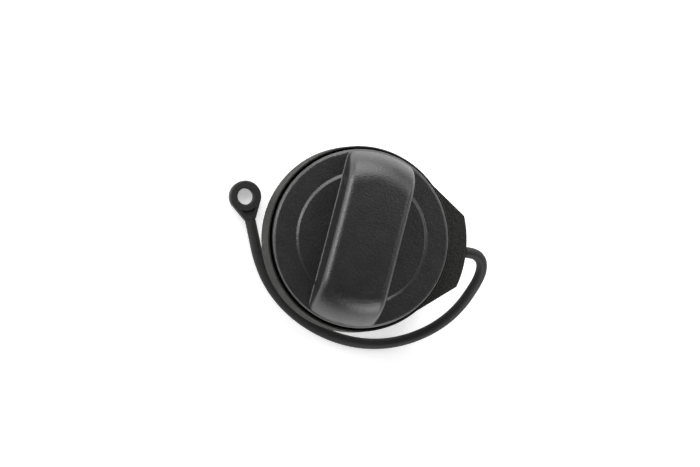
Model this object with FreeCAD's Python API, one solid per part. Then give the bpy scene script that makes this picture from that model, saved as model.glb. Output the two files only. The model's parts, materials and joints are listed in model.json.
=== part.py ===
import FreeCAD, Part
import math
import os

from FreeCAD import Vector

# A fuel cap with a moulded tether, in millimetres.
# The origin is the centre of the plug's end, +Z runs along the axis to the grip and the grip lies along Y.

# Clearances
FIT = 0.04             # pieces pushed or stretched onto each other
RUNNING = 0.3          # pieces that turn or slide past each other
SEAT_GAP = 0.05        # valve seals against their seats
OVERLAP = 0.5          # how far features of one moulding run into each other

# Closure: plug, pilot land, flange and hub in one moulding
PLUG_RADIUS = 22.0
PLUG_WALL = 2.6
PLUG_LENGTH = 29.0
LAND_GAP = 1.8         # between the plug and the inside of the land
LAND_WALL = 2.2
LAND_HEIGHT = 9.0
FLANGE_SETBACK = 0.8   # inside the knob's rim
FLANGE_THICKNESS = 3.0
HUB_RADIUS = 23.0
HUB_HEIGHT = 12.0
HUB_LIP = 1.3
HUB_LIP_HEIGHT = 2.0
DECK_LEVEL = 17.0
DECK_THICKNESS = 2.5
SEAT_OPENING = 8.0
SEAT_WIDTH = 1.0
SEAT_HEIGHT = 0.8
GUIDE_WALL = 1.6
GUIDE_HEIGHT = 6.5
LEDGE_DEPTH = 1.0
LEDGE_HEIGHT = 1.6

# Cam threads on the plug
CAM_COUNT = 3
CAM_PITCH = 13.0
CAM_SWEEP = 95.0
CAM_LEVEL = 5.5
CAM_DEPTH = 3.4
CAM_ROOT_WIDTH = 4.6
CAM_CREST_WIDTH = 2.6

# Gasket under the flange
GASKET_WIDTH = 6.0     # beyond the land
GASKET_THICKNESS = 2.8
GASKET_GROOVE = 0.6

# Torque clutch
TOOTH_COUNT = 12
TOOTH_RISE = 2.2
TOOTH_SETBACK = 0.2
RATCHET_BASE = 2.2
CLUTCH_LIFT_GAP = 0.25
CLUTCH_BACKLASH = 0.8  # degrees
CLUTCH_TOP = 8.0       # above the flange
KEY_COUNT = 3
KEY_DEPTH = 1.6
CLUTCH_WIRE = 0.6
CLUTCH_COILS = 2
COIL_STEPS = 8         # straight runs in each turn of a spring

# Knob
KNOB_RADIUS = 38.0
KNOB_HEIGHT = 18.0     # face above the flange
KNOB_EDGE = 1.4
PLATE_THICKNESS = 2.5
RIM_HEIGHT = 5.0
RIM_WALL = 2.4
PLATEAU_RADIUS = 28.5
PLATEAU_SLOPE = 1.2
PLATEAU_RISE = 0.8
SKIRT_SETBACK = 3.0    # inside the knob's rim
SKIRT_WALL = 2.0
STOP_BEAD = 1.6
STOP_BEAD_HEIGHT = 2.0
SNAP_TUBE_WALL = 2.0
SNAP_BEAD_HEIGHT = 2.0
DRIVE_RIB_COUNT = 4
DRIVE_RIB_WIDTH = 4.0
DRIVE_RIB_DEPTH = 1.4

# Grip bar
GRIP_HALF_WIDTH = 14.8
GRIP_HEIGHT = 15.0
GRIP_DRAFT = 2.0       # degrees
GRIP_FLAT = 23.0       # radius where the top starts to fall to the rim
GRIP_CROWN = 0.6
GRIP_EDGE = 3.6
GRIP_FOOT = 0.6
GRIP_WALL = 2.4
GRIP_DIP = 1.6         # where the ends of the grip meet the rim, below the face
GRIP_ROOT = 2.0

# Tether collar and lug
COLLAR_GAP = 0.8       # round the knob's rim
COLLAR_WALL = 0.8
COLLAR_FLARE = 0.6     # from top to foot
COLLAR_HEIGHT = 14.0
COLLAR_DROP = 0.4      # below the flange's top
WEB_THICKNESS = 2.2
LUG_DIRECTION = 8.2    # degrees from +X
LUG_REACH = 8.4        # beyond the collar
LUG_HALF_ANGLE = 18.7
LUG_RISE = 4.2         # above the collar's foot
LUG_HEIGHT = 6.7
LUG_WALL = 1.8
LUG_ROOF = 1.8
LUG_SPIGOT = 0.6

# Strap and eyelet
STRAP_RADIUS = 2.4
EYELET_HOLE = 3.6
EYELET_RADIUS = 7.0
EYELET_REACH = 11.0
EYELET_WEB_DROP = 0.9
EYELET_RIB = 1.3
EYELET_EDGE = 0.8

# Valves
VALVE_RADIUS = 13.0
VALVE_THICKNESS = 2.0
VALVE_SEAL_THICKNESS = 1.7
VALVE_SEAL_OUTER = 12.3
VALVE_SEAL_INNER = 6.2
SPRING_BOSS_RADIUS = 7.2
SPRING_BOSS_WALL = 1.2
SPRING_BOSS_HEIGHT = 1.5
PRESSURE_SPRING_RADIUS = 9.0
PRESSURE_SPRING_LENGTH = 12.0
PRESSURE_WIRE = 0.6
PRESSURE_COILS = 4
STEM_RADIUS = 1.8
STEM_LENGTH = 10.2
POPPET_RADIUS = 5.4
POPPET_THICKNESS = 1.2
VACUUM_SEAL_THICKNESS = 1.6
VACUUM_SPRING_RADIUS = 3.0
VACUUM_SPRING_LENGTH = 5.0
VACUUM_WIRE = 0.3
VACUUM_COILS = 4
PUSH_NUT_RADIUS = 4.0
PUSH_NUT_THICKNESS = 0.8
VENT_COUNT = 4
VENT_RADIUS = 0.7
VENT_CIRCLE = 3.9

# Spring retainer on the hub
RETAINER_WALL = 1.5
RETAINER_RIM = 1.4
RETAINER_HOLE = 3.0
RETAINER_VENT = 1.5
RETAINER_VENT_CIRCLE = 14.0

# Splash shield in the plug's end
SHIELD_PLATE = 1.8
SHIELD_HEIGHT = 6.0
SHIELD_WALL = 1.6
SHIELD_SLOTS = 6
SLOT_INNER = 9.0
SLOT_OUTER = 15.0
SLOT_SWEEP = 38.0

# Levels and radii that follow from the sizes above
BORE = PLUG_RADIUS - PLUG_WALL
LAND_RADIUS = PLUG_RADIUS + LAND_GAP + LAND_WALL
FLANGE_RADIUS = KNOB_RADIUS - FLANGE_SETBACK
GASKET_RADIUS = LAND_RADIUS + GASKET_WIDTH
FLANGE_TOP = PLUG_LENGTH + FLANGE_THICKNESS
HUB_TOP = FLANGE_TOP + HUB_HEIGHT
LIP_RADIUS = HUB_RADIUS + HUB_LIP
LIP_LEVEL = HUB_TOP - HUB_LIP_HEIGHT
DECK_TOP = DECK_LEVEL + DECK_THICKNESS
SEAT_TOP = DECK_TOP + SEAT_HEIGHT
GASKET_FOOT = PLUG_LENGTH - GASKET_THICKNESS
GROOVE_RADIUS = LAND_RADIUS - GASKET_GROOVE
GUIDE_INNER = VALVE_RADIUS + RUNNING
LEDGE_LEVEL = SHIELD_HEIGHT
TOOTH_FOOT = FLANGE_TOP + RATCHET_BASE
TOOTH_PITCH = 360.0 / TOOTH_COUNT
CLUTCH_LEVEL = FLANGE_TOP + CLUTCH_TOP
FACE = FLANGE_TOP + KNOB_HEIGHT
PLATE_UNDER = FACE - PLATE_THICKNESS
SKIRT_OUTER = KNOB_RADIUS - SKIRT_SETBACK
SKIRT_INNER = SKIRT_OUTER - SKIRT_WALL
RATCHET_RADIUS = SKIRT_INNER - 2 * RUNNING
SKIRT_FOOT = FLANGE_TOP + RUNNING
WEB_LEVEL = FLANGE_TOP + RUNNING
STOP_LEVEL = WEB_LEVEL + WEB_THICKNESS + RUNNING
SNAP_INNER = LIP_RADIUS + RUNNING
SNAP_OUTER = SNAP_INNER + SNAP_TUBE_WALL
SNAP_TOP = LIP_LEVEL - RUNNING
SNAP_FOOT = SNAP_TOP - SNAP_BEAD_HEIGHT
CLUTCH_INNER = SNAP_OUTER + 2 * RUNNING
CLUTCH_OUTER = SKIRT_INNER - RUNNING
TOOTH_INNER = CLUTCH_INNER + TOOTH_SETBACK
CLUTCH_SPRING_RADIUS = (CLUTCH_INNER + CLUTCH_OUTER) / 2
GRIP_TOP = FACE + GRIP_HEIGHT
COLLAR_INNER = KNOB_RADIUS + COLLAR_GAP
COLLAR_TOP_RADIUS = COLLAR_INNER + COLLAR_WALL
COLLAR_FOOT_RADIUS = COLLAR_TOP_RADIUS + COLLAR_FLARE
COLLAR_FOOT = FLANGE_TOP - COLLAR_DROP
LUG_RADIUS = COLLAR_TOP_RADIUS + LUG_REACH
LUG_FOOT = COLLAR_FOOT + LUG_RISE
LUG_TOP = LUG_FOOT + LUG_HEIGHT
STRAP_LEVEL = LUG_FOOT + LUG_HEIGHT / 2
SEAL_FOOT = SEAT_TOP + SEAT_GAP
VALVE_FOOT = SEAL_FOOT + VALVE_SEAL_THICKNESS
VALVE_TOP = VALVE_FOOT + VALVE_THICKNESS
RETAINER_FLOOR = VALVE_TOP + PRESSURE_SPRING_LENGTH
VACUUM_SEAL_TOP = VALVE_FOOT - SEAT_GAP
POPPET_TOP = VACUUM_SEAL_TOP - VACUUM_SEAL_THICKNESS
PUSH_NUT_LEVEL = VALVE_TOP + VACUUM_SPRING_LENGTH


def polar(radius, degrees, level=0.0):
    angle = math.radians(degrees)
    return Vector(radius * math.cos(angle), radius * math.sin(angle), level)


def turn(shape, degrees):
    copy = shape.copy()
    copy.rotate(Vector(0, 0, 0), Vector(0, 0, 1), degrees)
    return copy


def round_copies(shape, count):
    return [turn(shape, 360.0 / count * i) for i in range(count)]


def ring(inner, outer, low, high):
    body = Part.makeCylinder(outer, high - low, Vector(0, 0, low))
    return body.cut(Part.makeCylinder(inner, high - low, Vector(0, 0, low)))


def sector(inner, outer, low, high, start, end):
    """Part of a ring between two angles."""
    corners = [Vector(inner, 0, low), Vector(outer, 0, low), Vector(outer, 0, high), Vector(inner, 0, high)]
    face = Part.Face(Part.makePolygon(corners + corners[:1]))
    face.rotate(Vector(0, 0, 0), Vector(0, 0, 1), start)
    return face.revolve(Vector(0, 0, 0), Vector(0, 0, 1), end - start)


def eased_wire(corners):
    """Closed wire through (point, radius) corners, with a tangent arc at each corner that has a radius."""
    edges = []
    ends = []
    count = len(corners)
    for i, (point, radius) in enumerate(corners):
        to_last = (corners[i - 1][0] - point).normalize()
        to_next = (corners[(i + 1) % count][0] - point).normalize()
        half = to_last.getAngle(to_next) / 2
        reach = radius / math.tan(half)
        start = point + to_last * reach
        end = point + to_next * reach
        if radius:
            inward = (to_last + to_next).normalize()
            middle = point + inward * (radius / math.sin(half) - radius)
            edges.append(Part.Arc(start, middle, end).toShape())
        ends.append((start, end))
    for i in range(count):
        edges.append(Part.LineSegment(ends[i - 1][1], ends[i][0]).toShape())
    return Part.Wire(Part.__sortEdges__(edges))


def turned(corners):
    """Solid of revolution from (radius, level, easing) corners."""
    wire = eased_wire([(Vector(r, 0, z), easing) for r, z, easing in corners])
    return Part.Face(wire).revolve(Vector(0, 0, 0), Vector(0, 0, 1), 360)


def swept(points, section):
    """Section swept along straight runs that are joined by tangent arcs, with its line and its bend radii."""
    edges = []
    bends = []
    last = points[0]
    for before, point, after in zip(points, points[1:], points[2:]):
        back = before - point
        ahead = after - point
        reach = 0.45 * min(back.Length, ahead.Length)
        back.normalize()
        ahead.normalize()
        half = back.getAngle(ahead) / 2
        bend = reach * math.tan(half)
        start = point + back * reach
        end = point + ahead * reach
        inward = (back + ahead).normalize()
        middle = point + inward * (bend / math.sin(half) - bend)
        edges.append(Part.LineSegment(last, start).toShape())
        edges.append(Part.Arc(start, middle, end).toShape())
        bends.append(bend)
        last = end
    edges.append(Part.LineSegment(last, points[-1]).toShape())
    line = Part.Wire(edges)
    return line.makePipeShell([section], True, False), line, bends


def coil(radius, wire_radius, low, high, coils):
    """Open coil spring of square wire that fills the space between two levels."""
    steps = COIL_STEPS * coils
    climb = (high - low - 2 * wire_radius) / steps
    points = [polar(radius, 360.0 / COIL_STEPS * i, low + wire_radius + climb * i) for i in range(steps + 1)]
    low_corner = Vector(radius - wire_radius, 0, low)
    high_corner = Vector(radius + wire_radius, 0, low + 2 * wire_radius)
    section = Part.makePolygon([
        low_corner,
        Vector(high_corner.x, 0, low),
        high_corner,
        Vector(low_corner.x, 0, high_corner.z),
        low_corner,
    ])
    return swept(points, section)[0]


def cam_thread():
    """One right-hand cam with a trapezoid section, wound on the plug."""
    rise = CAM_PITCH * CAM_SWEEP / 360.0
    helix = Part.makeHelix(CAM_PITCH, rise, PLUG_RADIUS)
    helix.translate(Vector(0, 0, CAM_LEVEL))
    root = PLUG_RADIUS - 0.4
    crest = PLUG_RADIUS + CAM_DEPTH
    section = Part.makePolygon([
        Vector(root, 0, CAM_LEVEL - CAM_ROOT_WIDTH / 2),
        Vector(crest, 0, CAM_LEVEL - CAM_CREST_WIDTH / 2),
        Vector(crest, 0, CAM_LEVEL + CAM_CREST_WIDTH / 2),
        Vector(root, 0, CAM_LEVEL + CAM_ROOT_WIDTH / 2),
        Vector(root, 0, CAM_LEVEL - CAM_ROOT_WIDTH / 2),
    ])
    return Part.Wire(helix.Edges).makePipeShell([section], True, True)


def closure_body():
    land_inner = LAND_RADIUS - LAND_WALL
    land_foot = PLUG_LENGTH - LAND_HEIGHT
    guide_outer = GUIDE_INNER + GUIDE_WALL
    ledge_radius = BORE - LEDGE_DEPTH
    ledge_top = LEDGE_LEVEL + LEDGE_HEIGHT
    seat_outer = SEAT_OPENING + 2 * SEAT_WIDTH
    body = turned([
        (BORE, 0, 0),
        (PLUG_RADIUS, 0, 0.8),
        (PLUG_RADIUS, PLUG_LENGTH, 0),
        (land_inner, PLUG_LENGTH, 0),
        (land_inner, land_foot, 0),
        (LAND_RADIUS, land_foot, 0.9),
        (LAND_RADIUS, GASKET_FOOT, 0),
        (GROOVE_RADIUS, GASKET_FOOT, 0),
        (GROOVE_RADIUS, PLUG_LENGTH, 0),
        (FLANGE_RADIUS, PLUG_LENGTH, 0.8),
        (FLANGE_RADIUS, FLANGE_TOP, 0),
        (HUB_RADIUS, FLANGE_TOP, 0),
        (HUB_RADIUS, LIP_LEVEL, 0),
        (LIP_RADIUS, LIP_LEVEL, 0),
        (LIP_RADIUS, HUB_TOP, 0),
        (BORE, HUB_TOP, 0),
        (BORE, DECK_TOP, 0),
        (guide_outer, DECK_TOP, 0),
        (guide_outer, DECK_TOP + GUIDE_HEIGHT, 0),
        (GUIDE_INNER, DECK_TOP + GUIDE_HEIGHT, 0),
        (GUIDE_INNER, DECK_TOP, 0),
        (seat_outer, DECK_TOP, 0),
        (seat_outer - SEAT_WIDTH / 2, SEAT_TOP, 0),
        (seat_outer - SEAT_WIDTH, SEAT_TOP, 0),
        (SEAT_OPENING, DECK_TOP, 0),
        (SEAT_OPENING, DECK_LEVEL, 0),
        (BORE, DECK_LEVEL, 0),
        (BORE, ledge_top, 0),
        (ledge_radius, ledge_top - LEDGE_DEPTH / 2, 0),
        (ledge_radius, LEDGE_LEVEL, 0),
        (BORE, LEDGE_LEVEL, 0),
    ])
    key = sector(HUB_RADIUS - OVERLAP, HUB_RADIUS + KEY_DEPTH, FLANGE_TOP - OVERLAP, TOOTH_FOOT, -4.5, 4.5)
    return body.fuse(round_copies(cam_thread(), CAM_COUNT) + round_copies(key, KEY_COUNT)).removeSplitter()


def neck_seal():
    return turned([
        (GROOVE_RADIUS + FIT, GASKET_FOOT, 0),
        (GASKET_RADIUS, GASKET_FOOT, 0.6),
        (GASKET_RADIUS, PLUG_LENGTH, 0),
        (GROOVE_RADIUS + FIT, PLUG_LENGTH, 0),
    ])


def saw_teeth(inner, outer, foot, backlash=0.0):
    """Ring of face teeth that climb against the tightening direction and end in a steep radial face."""
    teeth = []
    for i in range(TOOTH_COUNT):
        start = -TOOTH_PITCH * i - backlash
        end = start - TOOTH_PITCH
        sections = []
        for radius in (inner * 0.9, outer * 1.1):
            low_end = polar(radius, start, foot)
            high_foot = polar(radius, end, foot)
            high_end = polar(radius, end, foot + TOOTH_RISE)
            sections.append(Part.makePolygon([low_end, high_foot, high_end, low_end]))
        teeth.append(Part.makeLoft(sections, True, True))
    blank = ring(inner, outer, foot, foot + TOOTH_RISE)
    return [tooth.common(blank) for tooth in teeth]


def ratchet_ring():
    base = ring(HUB_RADIUS + FIT, RATCHET_RADIUS, FLANGE_TOP, TOOTH_FOOT)
    keyway = sector(HUB_RADIUS - 1, HUB_RADIUS + KEY_DEPTH + FIT, FLANGE_TOP, TOOTH_FOOT, -4.6, 4.6)
    base = base.cut(round_copies(keyway, KEY_COUNT))
    return base.fuse(saw_teeth(TOOTH_INNER, RATCHET_RADIUS, TOOTH_FOOT)).removeSplitter()


def clutch_ring():
    foot = TOOTH_FOOT + CLUTCH_LIFT_GAP
    blank = ring(CLUTCH_INNER, CLUTCH_OUTER, foot, CLUTCH_LEVEL)
    cutters = saw_teeth(CLUTCH_INNER - 1, CLUTCH_OUTER + 1, foot)
    cutters += saw_teeth(CLUTCH_INNER - 1, CLUTCH_OUTER + 1, foot, CLUTCH_BACKLASH)
    slot_inner = SKIRT_INNER - DRIVE_RIB_DEPTH - RUNNING
    slot_width = DRIVE_RIB_WIDTH + 2 * RUNNING
    slot = Part.makeBox(
        CLUTCH_OUTER, slot_width, CLUTCH_LEVEL, Vector(slot_inner, -slot_width / 2, 0)
    )
    return blank.cut(cutters).cut(round_copies(slot, DRIVE_RIB_COUNT)).removeSplitter()


def clutch_spring():
    return coil(CLUTCH_SPRING_RADIUS, CLUTCH_WIRE, CLUTCH_LEVEL, PLATE_UNDER, CLUTCH_COILS)


def grip_form(inset, foot):
    """The grip bar as a domed round form cut to a drafted bar, drawn in by inset on every side."""
    top = GRIP_TOP - inset
    shoulder = GRIP_TOP - GRIP_CROWN - inset
    rim = KNOB_RADIUS - 0.3 - inset
    crown = Part.Arc(
        Vector(-GRIP_FLAT, 0, shoulder), Vector(0, 0, top), Vector(GRIP_FLAT, 0, shoulder)
    )
    slope = 2 * GRIP_CROWN / GRIP_FLAT
    run = rim - GRIP_FLAT
    fall = Part.BezierCurve()
    fall.setPoles([
        Vector(GRIP_FLAT, 0, shoulder),
        Vector(GRIP_FLAT + 0.5 * run, 0, shoulder - slope * 0.5 * run),
        Vector(rim - 0.2 * run, 0, FACE + 0.62 * GRIP_HEIGHT),
        Vector(rim, 0, FACE - GRIP_DIP),
    ])
    centre = Vector(0, 0, top)
    half_crown = crown.toShape().common(Part.makeBox(2 * GRIP_FLAT, 2, 4 * GRIP_HEIGHT, Vector(0, -1, FACE)))
    edges = half_crown.Edges + [fall.toShape()]
    edges.append(Part.LineSegment(Vector(rim, 0, FACE - GRIP_DIP), Vector(rim, 0, foot)).toShape())
    edges.append(Part.LineSegment(Vector(rim, 0, foot), Vector(0, 0, foot)).toShape())
    edges.append(Part.LineSegment(Vector(0, 0, foot), centre).toShape())
    dome = Part.Face(Part.Wire(Part.__sortEdges__(edges))).revolve(Vector(0, 0, 0), Vector(0, 0, 1), 360)
    lean = math.tan(math.radians(GRIP_DRAFT))
    low_half = GRIP_HALF_WIDTH - inset + lean * (FACE - foot)
    high = GRIP_TOP + 1
    high_half = GRIP_HALF_WIDTH - inset - lean * (high - FACE)
    bar = Part.Face(Part.makePolygon([
        Vector(-low_half, -KNOB_RADIUS, foot),
        Vector(low_half, -KNOB_RADIUS, foot),
        Vector(high_half, -KNOB_RADIUS, high),
        Vector(-high_half, -KNOB_RADIUS, high),
        Vector(-low_half, -KNOB_RADIUS, foot),
    ])).extrude(Vector(0, 2 * KNOB_RADIUS, 0))
    return dome.common(bar)


def knob():
    plate = turned([
        (0, PLATE_UNDER, 0),
        (KNOB_RADIUS - RIM_WALL, PLATE_UNDER, 0.6),
        (KNOB_RADIUS - RIM_WALL, FACE - RIM_HEIGHT, 0.4),
        (KNOB_RADIUS, FACE - RIM_HEIGHT, 0.4),
        (KNOB_RADIUS, FACE, KNOB_EDGE),
        (PLATEAU_RADIUS, FACE, 0.8),
        (PLATEAU_RADIUS - PLATEAU_SLOPE, FACE + PLATEAU_RISE, 0.8),
        (0, FACE + PLATEAU_RISE, 0),
    ])
    grip = grip_form(0, FACE - GRIP_ROOT)
    top_edges = [
        edge for edge in grip.Edges
        if edge.BoundBox.ZMax > FACE
        and abs(edge.CenterOfMass.x) > GRIP_HALF_WIDTH / 2
    ]
    grip = grip.makeFillet(GRIP_EDGE, top_edges)
    hollow = grip_form(GRIP_WALL, PLATE_UNDER - 1)
    hollow = hollow.common(Part.makeCylinder(SKIRT_INNER - 0.6, 2 * GRIP_TOP))
    shell = plate.fuse(grip)
    foot_edges = [
        edge for edge in shell.Edges
        if edge.BoundBox.ZMin > FACE - 0.01
        and edge.BoundBox.ZMax < FACE + PLATEAU_RISE + 0.01
        and edge.BoundBox.XLength < 0.2
        and abs(abs(edge.CenterOfMass.x) - GRIP_HALF_WIDTH) < 0.2
    ]
    shell = shell.makeFillet(GRIP_FOOT, foot_edges).cut(hollow)
    skirt = ring(SKIRT_INNER, SKIRT_OUTER, SKIRT_FOOT, PLATE_UNDER + OVERLAP)
    stop = turned([
        (SKIRT_OUTER - OVERLAP, STOP_LEVEL, 0),
        (SKIRT_OUTER + STOP_BEAD, STOP_LEVEL, 0.3),
        (SKIRT_OUTER + STOP_BEAD, STOP_LEVEL + STOP_BEAD_HEIGHT, 0.3),
        (SKIRT_OUTER - OVERLAP, STOP_LEVEL + STOP_BEAD_HEIGHT + 1, 0),
    ])
    tube = turned([
        (HUB_RADIUS + RUNNING, SNAP_FOOT + 1, 0),
        (HUB_RADIUS + RUNNING + 0.8, SNAP_FOOT, 0.2),
        (SNAP_OUTER, SNAP_FOOT, 0.4),
        (SNAP_OUTER, PLATE_UNDER + OVERLAP, 0),
        (SNAP_INNER, PLATE_UNDER + OVERLAP, 0),
        (SNAP_INNER, SNAP_TOP, 0),
        (HUB_RADIUS + RUNNING, SNAP_TOP, 0.2),
    ])
    rib_foot = TOOTH_FOOT + TOOTH_RISE + RUNNING
    rib = Part.makeBox(
        DRIVE_RIB_DEPTH + OVERLAP,
        DRIVE_RIB_WIDTH,
        PLATE_UNDER + OVERLAP - rib_foot,
        Vector(SKIRT_INNER - DRIVE_RIB_DEPTH, -DRIVE_RIB_WIDTH / 2, rib_foot),
    )
    return shell.fuse([skirt, stop, tube] + round_copies(rib, DRIVE_RIB_COUNT)).removeSplitter()


def tether_collar():
    top = COLLAR_FOOT + COLLAR_HEIGHT
    web_inner = SKIRT_OUTER + RUNNING
    wall = turned([
        (COLLAR_INNER, COLLAR_FOOT, 0.3),
        (COLLAR_FOOT_RADIUS, COLLAR_FOOT, 0.4),
        (COLLAR_TOP_RADIUS, top, 0.35),
        (COLLAR_INNER, top, 0.35),
        (COLLAR_INNER, WEB_LEVEL + WEB_THICKNESS, 0.4),
        (web_inner, WEB_LEVEL + WEB_THICKNESS, 0.3),
        (web_inner, WEB_LEVEL, 0.3),
        (COLLAR_INNER, WEB_LEVEL, 0),
    ])
    reach = math.degrees(math.acos(COLLAR_TOP_RADIUS / LUG_RADIUS))
    touch = LUG_HALF_ANGLE + reach
    outline = [
        Part.LineSegment(polar(COLLAR_INNER, touch), polar(COLLAR_TOP_RADIUS, touch)),
        Part.LineSegment(polar(COLLAR_TOP_RADIUS, touch), polar(LUG_RADIUS, LUG_HALF_ANGLE)),
        Part.Arc(polar(LUG_RADIUS, LUG_HALF_ANGLE), polar(LUG_RADIUS, 0), polar(LUG_RADIUS, -LUG_HALF_ANGLE)),
        Part.LineSegment(polar(LUG_RADIUS, -LUG_HALF_ANGLE), polar(COLLAR_TOP_RADIUS, -touch)),
        Part.LineSegment(polar(COLLAR_TOP_RADIUS, -touch), polar(COLLAR_INNER, -touch)),
        Part.Arc(polar(COLLAR_INNER, -touch), polar(COLLAR_INNER, 0), polar(COLLAR_INNER, touch)),
    ]
    lug = Part.Face(Part.Wire([piece.toShape() for piece in outline])).extrude(Vector(0, 0, LUG_HEIGHT))
    lug.translate(Vector(0, 0, LUG_FOOT))
    rims = [edge for edge in lug.Edges if edge.BoundBox.ZLength < 0.01]
    outer_rims = [
        edge for edge in rims
        if min(math.hypot(v.Point.x, v.Point.y) for v in edge.Vertexes) > COLLAR_TOP_RADIUS - 0.1
    ]
    lug = lug.makeFillet(0.35, outer_rims)
    pocket_inner = COLLAR_FOOT_RADIUS + 0.4
    pocket_outer = LUG_RADIUS - LUG_WALL
    rib_angle = math.degrees(math.asin((STRAP_RADIUS + LUG_WALL) / pocket_outer))
    pocket = sector(
        pocket_inner, pocket_outer, LUG_FOOT - 1, LUG_TOP - LUG_ROOF, rib_angle, LUG_HALF_ANGLE
    )
    pockets = [pocket, turn(pocket, -rib_angle - LUG_HALF_ANGLE)]
    spigot = Part.makeCylinder(
        STRAP_RADIUS, 3 + LUG_SPIGOT, Vector(LUG_RADIUS - 3, 0, STRAP_LEVEL), Vector(1, 0, 0)
    )
    lug = lug.cut(pockets).fuse(spigot)
    return wall.fuse(turn(lug, LUG_DIRECTION)).removeSplitter()


def strap_route():
    """Route of the strap from the lug, through a tight bend, down to the ground and round to the eyelet."""
    exit_point = polar(LUG_RADIUS + LUG_SPIGOT, LUG_DIRECTION, STRAP_LEVEL)
    outward = polar(1, LUG_DIRECTION)
    points = [exit_point, exit_point + outward * 2.9]
    for x, y, z in [
        (53.8, 7.0, 38.4),
        (56.2, 5.6, 37.1),
        (57.8, 3.3, 35.2),
        (58.6, 0.3, 32.8),
        (58.7, -3.4, 29.8),
        (58.1, -8.0, 26.0),
        (56.9, -14.0, 21.2),
        (53.9, -21.4, 15.0),
        (48.1, -29.0, 8.6),
        (39.1, -35.8, 4.1),
        (28.6, -40.2, 2.4),
        (16.8, -42.2, 2.4),
        (4.9, -41.6, 2.4),
        (-6.8, -38.6, 2.4),
        (-17.5, -33.4, 2.4),
        (-26.5, -26.1, 2.4),
        (-33.2, -17.2, 2.4),
        (-37.8, -7.9, 2.4),
        (-41.0, -1.7, 2.4),
    ]:
        points.append(Vector(x, y, z))
    return points


def tether_strap():
    route = strap_route()
    section = Part.Wire([Part.makeCircle(STRAP_RADIUS, route[0], route[1] - route[0])])
    strap, line, bends = swept(route, section)
    print("strap bend radii", [round(bend, 1) for bend in bends])
    print("strap length", round(line.Length, 1), "volume", round(strap.Volume, 1),
          "section x length", round(math.pi * STRAP_RADIUS ** 2 * line.Length, 1))
    return strap


def tether_eyelet():
    """Flat ring on a tapered neck, drawn along +X from the strap's end and then set in place."""
    height = 2 * STRAP_RADIUS
    centre = Vector(EYELET_REACH, 0, 0)
    lean = math.asin((EYELET_RADIUS - STRAP_RADIUS) / EYELET_REACH)
    touch = Vector(-math.sin(lean), math.cos(lean), 0) * EYELET_RADIUS
    left = centre + touch
    right = centre + Vector(touch.x, -touch.y, 0)
    outline = [
        Part.LineSegment(Vector(0.6, -STRAP_RADIUS, 0), right),
        Part.Arc(right, centre + Vector(EYELET_RADIUS, 0, 0), left),
        Part.LineSegment(left, Vector(0.6, STRAP_RADIUS, 0)),
        Part.LineSegment(Vector(0.6, STRAP_RADIUS, 0), Vector(0.6, -STRAP_RADIUS, 0)),
    ]
    blank = Part.Face(Part.Wire([piece.toShape() for piece in outline])).extrude(Vector(0, 0, height))
    flats = [edge for edge in blank.Edges if edge.BoundBox.ZLength < 0.01 and edge.BoundBox.XMax > 1]
    blank = blank.makeFillet(EYELET_EDGE, flats)
    hole = Part.makeCylinder(EYELET_HOLE, height, centre)
    hole_rims = []
    blank = blank.cut(hole)
    for edge in blank.Edges:
        if edge.BoundBox.ZLength < 0.01 and abs(edge.BoundBox.XLength - 2 * EYELET_HOLE) < 0.01:
            hole_rims.append(edge)
    blank = blank.makeFillet(0.5, hole_rims)
    inset = EYELET_RIB / math.cos(lean)
    pocket_start = 2.6
    half_start = STRAP_RADIUS + (pocket_start - 0.6) * math.tan(lean) - inset
    half_end = STRAP_RADIUS + (EYELET_REACH - 0.6) * math.tan(lean) - inset
    pocket = Part.Face(Part.makePolygon([
        Vector(pocket_start, -half_start, 0),
        Vector(EYELET_REACH, -half_end, 0),
        Vector(EYELET_REACH, half_end, 0),
        Vector(pocket_start, half_start, 0),
        Vector(pocket_start, -half_start, 0),
    ])).extrude(Vector(0, 0, EYELET_WEB_DROP))
    pocket = pocket.cut(Part.makeCylinder(EYELET_RADIUS - 0.6, height, centre))
    upper = pocket.copy()
    upper.translate(Vector(0, 0, height - EYELET_WEB_DROP))
    neck = Part.makeCylinder(STRAP_RADIUS, 2.4, Vector(0, 0, STRAP_RADIUS), Vector(1, 0, 0))
    eyelet = blank.cut([pocket, upper]).fuse(neck).removeSplitter()
    points = strap_route()
    heading = points[-1] - points[-2]
    eyelet = turn(eyelet, math.degrees(math.atan2(heading.y, heading.x)))
    eyelet.translate(points[-1] - Vector(0, 0, STRAP_RADIUS))
    return eyelet


def pressure_valve_plate():
    boss_inner = SPRING_BOSS_RADIUS - SPRING_BOSS_WALL
    plate = turned([
        (STEM_RADIUS + 5 * FIT, VALVE_FOOT, 0),
        (VALVE_RADIUS, VALVE_FOOT, 0),
        (VALVE_RADIUS, VALVE_TOP, 0),
        (SPRING_BOSS_RADIUS, VALVE_TOP, 0),
        (SPRING_BOSS_RADIUS, VALVE_TOP + SPRING_BOSS_HEIGHT, 0),
        (boss_inner, VALVE_TOP + SPRING_BOSS_HEIGHT, 0),
        (boss_inner, VALVE_TOP, 0),
        (STEM_RADIUS + 5 * FIT, VALVE_TOP, 0),
    ])
    vent = Part.makeCylinder(VENT_RADIUS, VALVE_TOP, Vector(VENT_CIRCLE, 0, 0))
    return plate.cut(round_copies(vent, VENT_COUNT))


def pressure_valve_seal():
    return turned([
        (VALVE_SEAL_INNER, SEAL_FOOT, 0),
        (VALVE_SEAL_OUTER, SEAL_FOOT, 0),
        (VALVE_SEAL_OUTER, VALVE_FOOT, 0),
        (VALVE_SEAL_INNER, VALVE_FOOT, 0),
    ])


def pressure_spring():
    return coil(PRESSURE_SPRING_RADIUS, PRESSURE_WIRE, VALVE_TOP, RETAINER_FLOOR, PRESSURE_COILS)


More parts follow.
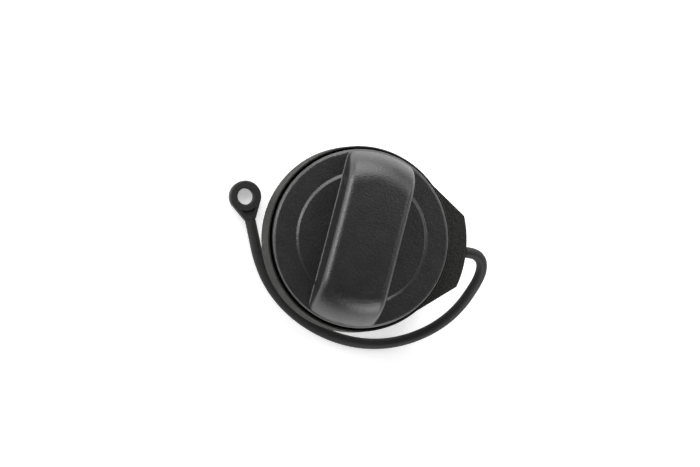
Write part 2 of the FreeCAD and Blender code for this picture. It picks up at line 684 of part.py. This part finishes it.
def spring_retainer():
    outer = BORE - 2 * FIT
    cup = turned([
        (RETAINER_HOLE, RETAINER_FLOOR, 0),
        (outer, RETAINER_FLOOR, 0),
        (outer, HUB_TOP, 0),
        (HUB_RADIUS, HUB_TOP, 0),
        (HUB_RADIUS, HUB_TOP + RETAINER_RIM, 0),
        (outer - RETAINER_WALL, HUB_TOP + RETAINER_RIM, 0),
        (outer - RETAINER_WALL, RETAINER_FLOOR + RETAINER_WALL, 0),
        (RETAINER_HOLE, RETAINER_FLOOR + RETAINER_WALL, 0),
    ])
    vent = Part.makeCylinder(RETAINER_VENT, HUB_TOP, Vector(RETAINER_VENT_CIRCLE, 0, 0))
    return cup.cut(round_copies(vent, VENT_COUNT))


def vacuum_poppet():
    return turned([
        (0, POPPET_TOP - POPPET_THICKNESS, 0),
        (POPPET_RADIUS, POPPET_TOP - POPPET_THICKNESS, 0),
        (POPPET_RADIUS, POPPET_TOP, 0),
        (STEM_RADIUS, POPPET_TOP, 0),
        (STEM_RADIUS, POPPET_TOP + STEM_LENGTH, 0),
        (0, POPPET_TOP + STEM_LENGTH, 0),
    ])


def vacuum_seal():
    return ring(STEM_RADIUS + FIT, POPPET_RADIUS, POPPET_TOP, VACUUM_SEAL_TOP)


def vacuum_spring():
    return coil(VACUUM_SPRING_RADIUS, VACUUM_WIRE, VALVE_TOP, PUSH_NUT_LEVEL, VACUUM_COILS)


def vacuum_push_nut():
    return ring(STEM_RADIUS + FIT, PUSH_NUT_RADIUS, PUSH_NUT_LEVEL, PUSH_NUT_LEVEL + PUSH_NUT_THICKNESS)


def splash_shield():
    outer = BORE - 2 * FIT
    shield = turned([
        (0, 0, 0),
        (outer, 0, 0),
        (outer, SHIELD_HEIGHT, 0),
        (outer - SHIELD_WALL, SHIELD_HEIGHT, 0),
        (outer - SHIELD_WALL, SHIELD_PLATE, 0),
        (0, SHIELD_PLATE, 0),
    ])
    slot = sector(SLOT_INNER, SLOT_OUTER, -1, SHIELD_PLATE + 1, -SLOT_SWEEP / 2, SLOT_SWEEP / 2)
    return shield.cut(round_copies(slot, SHIELD_SLOTS))


PIECES = [
    closure_body,
    neck_seal,
    ratchet_ring,
    clutch_ring,
    clutch_spring,
    knob,
    tether_collar,
    tether_strap,
    tether_eyelet,
    pressure_valve_plate,
    pressure_valve_seal,
    pressure_spring,
    spring_retainer,
    vacuum_poppet,
    vacuum_seal,
    vacuum_spring,
    vacuum_push_nut,
    splash_shield,
]

os.makedirs("parts", exist_ok=True)
for piece in PIECES:
    (solid,) = piece().Solids
    solid.exportStep("parts/" + piece.__name__ + ".step")
    print(piece.__name__, "valid", solid.isValid(), "volume", round(solid.Volume, 1))
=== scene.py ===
import json
import math

import bpy
from mathutils import Matrix, Vector


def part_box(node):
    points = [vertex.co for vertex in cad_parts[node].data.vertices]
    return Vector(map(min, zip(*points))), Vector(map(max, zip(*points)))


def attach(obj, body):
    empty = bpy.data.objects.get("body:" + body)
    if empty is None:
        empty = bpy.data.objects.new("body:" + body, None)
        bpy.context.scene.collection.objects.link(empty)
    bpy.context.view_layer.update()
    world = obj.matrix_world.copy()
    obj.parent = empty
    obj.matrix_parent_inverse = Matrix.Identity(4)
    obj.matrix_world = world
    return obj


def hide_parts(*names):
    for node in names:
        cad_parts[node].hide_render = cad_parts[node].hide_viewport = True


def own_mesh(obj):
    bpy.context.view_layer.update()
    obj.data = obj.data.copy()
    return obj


# A black fuel cap on a white floor, seen almost along its axis. Everything is in metres.
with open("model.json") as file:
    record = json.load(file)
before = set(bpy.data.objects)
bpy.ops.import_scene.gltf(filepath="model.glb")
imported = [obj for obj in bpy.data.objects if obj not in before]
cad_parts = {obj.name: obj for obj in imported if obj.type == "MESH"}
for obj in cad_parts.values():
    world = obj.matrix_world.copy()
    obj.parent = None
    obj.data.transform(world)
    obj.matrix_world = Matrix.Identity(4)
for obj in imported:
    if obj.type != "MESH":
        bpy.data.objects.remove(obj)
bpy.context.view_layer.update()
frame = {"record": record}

# The photograph's view
IMAGE_WIDTH = 700
IMAGE_HEIGHT = 467
AXIS_PIXEL = (362.0, 238.5)      # where the cap's axis crosses the face
METRES_PER_PIXEL = 0.0004236     # at the face
FACE_LEVEL = 0.050
CAMERA_DISTANCE = 0.9
CAMERA_CLIP = 0.01
TILT_LEFT = 12.0                 # degrees off the cap's axis
TILT_DOWN = 1.5
GRIP_LEAN = 15.0                 # the grip leans this far to the right in the picture
SENSOR_WIDTH = 36.0

# Round tubes
CURVE_ORDER = 3

# Strap
STRAP_RADIUS = 0.0024
STRAP_STEPS = 8                  # along each stretch of the route
STRAP_BEVEL = 8                  # steps round the section
STRAP_ROUTE = [
    (0.04810, 0.00693, 0.03915),
    (0.05097, 0.00735, 0.03915),
    (0.0538, 0.0070, 0.0384),
    (0.0562, 0.0056, 0.0371),
    (0.0578, 0.0033, 0.0352),
    (0.0586, 0.0003, 0.0328),
    (0.0587, -0.0034, 0.0298),
    (0.0581, -0.0080, 0.0260),
    (0.0569, -0.0140, 0.0212),
    (0.0539, -0.0214, 0.0150),
    (0.0481, -0.0290, 0.0086),
    (0.0391, -0.0358, 0.0041),
    (0.0286, -0.0402, 0.0024),
    (0.0168, -0.0422, 0.0024),
    (0.0049, -0.0416, 0.0024),
    (-0.0068, -0.0386, 0.0024),
    (-0.0175, -0.0334, 0.0024),
    (-0.0265, -0.0261, 0.0024),
    (-0.0332, -0.0172, 0.0024),
    (-0.0378, -0.0079, 0.0024),
    (-0.0410, -0.0017, 0.0024),
]

# Springs
SPRING_CLOSED_TURNS = 0.75       # at each end
SPRING_POINTS = 24               # in a turn
SPRING_STEPS = 2                 # between two points
SPRING_BEVEL = 4                 # steps round the wire

# Surfaces
NOISE_LOW = 0.3                  # noise values between which a surface changes
NOISE_HIGH = 0.7
GRAIN_DETAIL = 3.0
PATCH_DETAIL = 2.0
PATCH_SIZE = 0.006               # patches of uneven polish
PATCH_POLISH = 0.03              # change of roughness either way

# Floor and light
FLOOR_HALF = 3.0
FLOOR_WHITE = 0.9
FLOOR_LIFT = 0.4                 # light added where the floor is seen, so that it reads as white
LIGHT_DISTANCE = 0.7
DARK_START = 0.15                # cosine of the angle at which the surroundings start to darken

FACE_CENTRE = Vector((0, 0, FACE_LEVEL))
SPIN = Matrix.Rotation(math.radians(GRIP_LEAN), 3, "Z")


def picture_direction(right, up, toward):
    """A direction given by the picture's right and up and the cap's axis, in the part's frame."""
    return SPIN @ Vector((right, up, toward)).normalized()


def add_object(name, data):
    obj = bpy.data.objects.new(name, data)
    bpy.context.scene.collection.objects.link(obj)
    return obj


def add_camera():
    """Camera that puts the cap's axis and its face where the photograph has them."""
    tilt_left = math.tan(math.radians(TILT_LEFT))
    tilt_down = math.tan(math.radians(TILT_DOWN))
    back = picture_direction(-tilt_left, -tilt_down, 1.0)
    right = SPIN @ Vector((1, 0, 0))
    right = (right - right.dot(back) * back).normalized()
    up = back.cross(right)
    shift_right = (AXIS_PIXEL[0] - IMAGE_WIDTH / 2) * METRES_PER_PIXEL
    shift_down = (AXIS_PIXEL[1] - IMAGE_HEIGHT / 2) * METRES_PER_PIXEL
    data = bpy.data.cameras.new("photo_camera")
    data.sensor_fit = "HORIZONTAL"
    data.sensor_width = SENSOR_WIDTH
    data.lens = SENSOR_WIDTH * CAMERA_DISTANCE / (IMAGE_WIDTH * METRES_PER_PIXEL)
    data.clip_start = CAMERA_CLIP
    camera = add_object("photo_camera", data)
    place = FACE_CENTRE + back * CAMERA_DISTANCE - right * shift_right + up * shift_down
    turn = Matrix((right, up, back)).transposed().to_4x4()
    camera.matrix_world = Matrix.Translation(place) @ turn
    bpy.context.scene.camera = camera


def node_tree(material):
    """An empty node tree and its output."""
    material.use_nodes = True
    tree = material.node_tree
    tree.nodes.clear()
    output = tree.nodes.new("ShaderNodeOutputMaterial")
    return tree, output


def noise(tree, coordinates, grain, detail):
    """Noise whose blobs are about one grain across, in metres."""
    texture = tree.nodes.new("ShaderNodeTexNoise")
    texture.inputs["Scale"].default_value = 1.0 / grain
    texture.inputs["Detail"].default_value = detail
    tree.links.new(coordinates.outputs["Object"], texture.inputs["Vector"])
    return texture


def spread(tree, texture, low, high):
    """The noise mapped to the range from low to high."""
    ranged = tree.nodes.new("ShaderNodeMapRange")
    ranged.inputs["From Min"].default_value = NOISE_LOW
    ranged.inputs["From Max"].default_value = NOISE_HIGH
    ranged.inputs["To Min"].default_value = low
    ranged.inputs["To Max"].default_value = high
    tree.links.new(texture.outputs["Fac"], ranged.inputs["Value"])
    return ranged.outputs["Result"]


def moulded(name, colour, roughness, gloss, grain, depth, shade, metal=0.0):
    """Moulded or worked surface with a fine grain, uneven polish and slightly uneven colour."""
    material = bpy.data.materials.new(name)
    tree, output = node_tree(material)
    shader = tree.nodes.new("ShaderNodeBsdfPrincipled")
    coordinates = tree.nodes.new("ShaderNodeTexCoord")
    shader.inputs["Specular IOR Level"].default_value = gloss
    shader.inputs["Metallic"].default_value = metal
    patch = noise(tree, coordinates, PATCH_SIZE, PATCH_DETAIL)
    fine = noise(tree, coordinates, grain, GRAIN_DETAIL)
    polish = spread(tree, patch, roughness - PATCH_POLISH, roughness + PATCH_POLISH)
    tree.links.new(polish, shader.inputs["Roughness"])
    tint = tree.nodes.new("ShaderNodeMix")
    tint.data_type = "RGBA"
    tint.inputs["A"].default_value = (*[c * (1 - shade) for c in colour], 1)
    tint.inputs["B"].default_value = (*[c * (1 + shade) for c in colour], 1)
    tree.links.new(spread(tree, fine, 0, 1), tint.inputs["Factor"])
    tree.links.new(tint.outputs["Result"], shader.inputs["Base Color"])
    bump = tree.nodes.new("ShaderNodeBump")
    bump.inputs["Strength"].default_value = 1.0
    bump.inputs["Distance"].default_value = depth
    tree.links.new(fine.outputs["Fac"], bump.inputs["Height"])
    tree.links.new(bump.outputs["Normal"], shader.inputs["Normal"])
    tree.links.new(shader.outputs["BSDF"], output.inputs["Surface"])
    return material


def dress(node, material):
    for slot in bpy.data.objects[node].material_slots:
        slot.material = material


def tube(name, points, radius, steps, bevel):
    """Round tube along a smooth line that the points draw."""
    curve = bpy.data.curves.new(name, "CURVE")
    curve.dimensions = "3D"
    spline = curve.splines.new("NURBS")
    spline.points.add(len(points) - 1)
    for point, place in zip(spline.points, points):
        point.co = (*place, 1)
    spline.order_u = CURVE_ORDER
    spline.use_endpoint_u = True
    spline.resolution_u = steps
    curve.bevel_depth = radius
    curve.bevel_resolution = bevel
    curve.use_fill_caps = True
    return curve


def add_strap(material):
    """The strap as one smooth cord from the lug to the eyelet's neck."""
    curve = tube("strap", STRAP_ROUTE, STRAP_RADIUS, STRAP_STEPS, STRAP_BEVEL)
    curve.materials.append(material)
    strap = add_object("strap", curve)
    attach(strap, "tether")
    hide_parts("tether_strap")


def spring_line(foot, length, radius, wire, coils):
    """Helix with closed ends, from the foot upwards. The wire is given by its radius."""
    turns = coils + 2 * SPRING_CLOSED_TURNS
    closed_pitch = 2 * wire
    closed_rise = closed_pitch * SPRING_CLOSED_TURNS
    open_pitch = (length - 2 * wire - 2 * closed_rise) / coils
    steps = int(turns * SPRING_POINTS)
    points = []
    for i in range(steps + 1):
        turn = turns * i / steps
        climb = closed_pitch * min(turn, SPRING_CLOSED_TURNS)
        climb += open_pitch * min(max(turn - SPRING_CLOSED_TURNS, 0), coils)
        climb += closed_pitch * max(turn - SPRING_CLOSED_TURNS - coils, 0)
        angle = 2 * math.pi * turn
        points.append((radius * math.cos(angle), radius * math.sin(angle), foot + wire + climb))
    return points


def add_spring(name, node, body, material, wire, coils):
    """Round-wire spring in the place of its solid."""
    low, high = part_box(node)
    length = high[2] - low[2]
    points = spring_line(low[2], length, high[0] - wire, wire, coils)
    line = add_object(name + "_line", tube(name + "_line", points, wire, SPRING_STEPS, SPRING_BEVEL))
    bpy.context.view_layer.update()
    mesh = bpy.data.meshes.new_from_object(line)
    bpy.data.objects.remove(line)
    mesh.shade_smooth()
    mesh.materials.clear()
    mesh.materials.append(material)
    spring = add_object(name, mesh)
    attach(spring, body)
    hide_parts(node)
    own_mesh(spring)


def floor_material():
    """White that takes soft shadows and is lifted where it is seen directly or in a reflection."""
    material = bpy.data.materials.new("floor_white")
    tree, output = node_tree(material)
    diffuse = tree.nodes.new("ShaderNodeBsdfDiffuse")
    diffuse.inputs["Color"].default_value = (FLOOR_WHITE, FLOOR_WHITE, FLOOR_WHITE, 1)
    glow = tree.nodes.new("ShaderNodeEmission")
    path = tree.nodes.new("ShaderNodeLightPath")
    seen = tree.nodes.new("ShaderNodeMath")
    seen.operation = "MAXIMUM"
    seen_through = tree.nodes.new("ShaderNodeMath")
    seen_through.operation = "MAXIMUM"
    lift = tree.nodes.new("ShaderNodeMath")
    lift.operation = "MULTIPLY"
    lift.inputs[1].default_value = FLOOR_LIFT
    both = tree.nodes.new("ShaderNodeAddShader")
    tree.links.new(path.outputs["Is Camera Ray"], seen.inputs[0])
    tree.links.new(path.outputs["Is Glossy Ray"], seen.inputs[1])
    tree.links.new(seen.outputs[0], seen_through.inputs[0])
    tree.links.new(path.outputs["Is Transmission Ray"], seen_through.inputs[1])
    tree.links.new(seen_through.outputs[0], lift.inputs[0])
    tree.links.new(lift.outputs[0], glow.inputs["Strength"])
    tree.links.new(diffuse.outputs["BSDF"], both.inputs[0])
    tree.links.new(glow.outputs["Emission"], both.inputs[1])
    tree.links.new(both.outputs["Shader"], output.inputs["Surface"])
    return material


def add_floor():
    corners = [
        (-FLOOR_HALF, -FLOOR_HALF, 0),
        (FLOOR_HALF, -FLOOR_HALF, 0),
        (FLOOR_HALF, FLOOR_HALF, 0),
        (-FLOOR_HALF, FLOOR_HALF, 0),
    ]
    mesh = bpy.data.meshes.new("floor")
    mesh.from_pydata(corners, [], [(0, 1, 2, 3)])
    mesh.materials.append(floor_material())
    floor = add_object("floor", mesh)


def add_light(name, direction, size, power):
    """Round lamp that points at the face."""
    data = bpy.data.lights.new(name, "AREA")
    data.shape = "DISK"
    data.size = size
    data.energy = power
    light = add_object(name, data)
    light.location = FACE_CENTRE + direction * LIGHT_DISTANCE
    light.rotation_euler = direction.to_track_quat("Z", "Y").to_euler()


def add_world(dark_direction, pale, dark):
    """Pale all round, darker towards one direction."""
    world = bpy.data.worlds.new("studio")
    bpy.context.scene.world = world
    world.use_nodes = True
    tree = world.node_tree
    tree.nodes.clear()
    output = tree.nodes.new("ShaderNodeOutputWorld")
    background = tree.nodes.new("ShaderNodeBackground")
    coordinates = tree.nodes.new("ShaderNodeTexCoord")
    along = tree.nodes.new("ShaderNodeVectorMath")
    along.operation = "DOT_PRODUCT"
    along.inputs[1].default_value = dark_direction
    fall = tree.nodes.new("ShaderNodeMapRange")
    fall.inputs["From Min"].default_value = DARK_START
    fall.inputs["From Max"].default_value = 1.0
    fall.inputs["To Min"].default_value = pale
    fall.inputs["To Max"].default_value = dark
    tree.links.new(coordinates.outputs["Generated"], along.inputs[0])
    tree.links.new(along.outputs["Value"], fall.inputs["Value"])
    tree.links.new(fall.outputs["Result"], background.inputs["Strength"])
    tree.links.new(background.outputs["Background"], output.inputs["Surface"])


# Materials
knob_plastic = moulded(
    "knob_plastic",
    colour=(0.0065, 0.0065, 0.0065),
    roughness=0.37,
    gloss=0.75,
    grain=0.0008,
    depth=0.00014,
    shade=0.5,
)
collar_plastic = moulded(
    "collar_plastic",
    colour=(0.027, 0.027, 0.0256),
    roughness=0.55,
    gloss=0.04,
    grain=0.0008,
    depth=0.00025,
    shade=0.45,
)
strap_plastic = moulded(
    "strap_plastic",
    colour=(0.014, 0.014, 0.0135),
    roughness=0.55,
    gloss=0.35,
    grain=0.0007,
    depth=0.00008,
    shade=0.3,
)
closure_plastic = moulded(
    "closure_plastic",
    colour=(0.014, 0.014, 0.014),
    roughness=0.4,
    gloss=0.5,
    grain=0.0008,
    depth=0.00008,
    shade=0.3,
)
gasket_rubber = moulded(
    "gasket_rubber",
    colour=(0.014, 0.014, 0.014),
    roughness=0.7,
    gloss=0.3,
    grain=0.0006,
    depth=0.0001,
    shade=0.2,
)
natural_plastic = moulded(
    "natural_plastic",
    colour=(0.72, 0.71, 0.66),
    roughness=0.4,
    gloss=0.5,
    grain=0.0006,
    depth=0.00002,
    shade=0.03,
)
spring_steel = moulded(
    "spring_steel",
    colour=(0.55, 0.55, 0.56),
    roughness=0.3,
    gloss=0.5,
    grain=0.0002,
    depth=0.000005,
    shade=0.06,
    metal=1.0,
)

FINISHES = {
    "knob": knob_plastic,
    "collar": collar_plastic,
    "strap": strap_plastic,
    "closure": closure_plastic,
    "gasket": gasket_rubber,
    "clutch": natural_plastic,
    "valve": natural_plastic,
    "valve_seal": gasket_rubber,
    "spring": spring_steel,
}
for part in frame["record"]["subparts"]:
    dress(part["node"], FINISHES[part["material_slot"]])

# Pieces
add_camera()
add_strap(strap_plastic)
add_spring(
    "pressure_coil", "pressure_spring", "closure", spring_steel,
    wire=0.0006, coils=4,
)
add_spring(
    "vacuum_coil", "vacuum_spring", "pressure_valve", spring_steel,
    wire=0.0003, coils=4,
)
add_spring(
    "clutch_coil", "clutch_spring", "knob", spring_steel,
    wire=0.0006, coils=2,
)

# Floor and light
add_floor()
add_world(picture_direction(0.1, -0.6, 1.0), pale=0.75, dark=0.1)
add_light("top_light", picture_direction(0.0, 1.0, 0.5), size=0.75, power=5.0)
add_light("left_light", picture_direction(-1.0, 0.5, 0.45), size=0.5, power=3.2)
add_light("bottom_light", picture_direction(0.35, -1.0, 0.45), size=0.5, power=2.4)
add_light("right_light", picture_direction(1.0, 0.4, 0.75), size=0.5, power=1.3)
bpy.context.scene.view_settings.view_transform = "Standard"
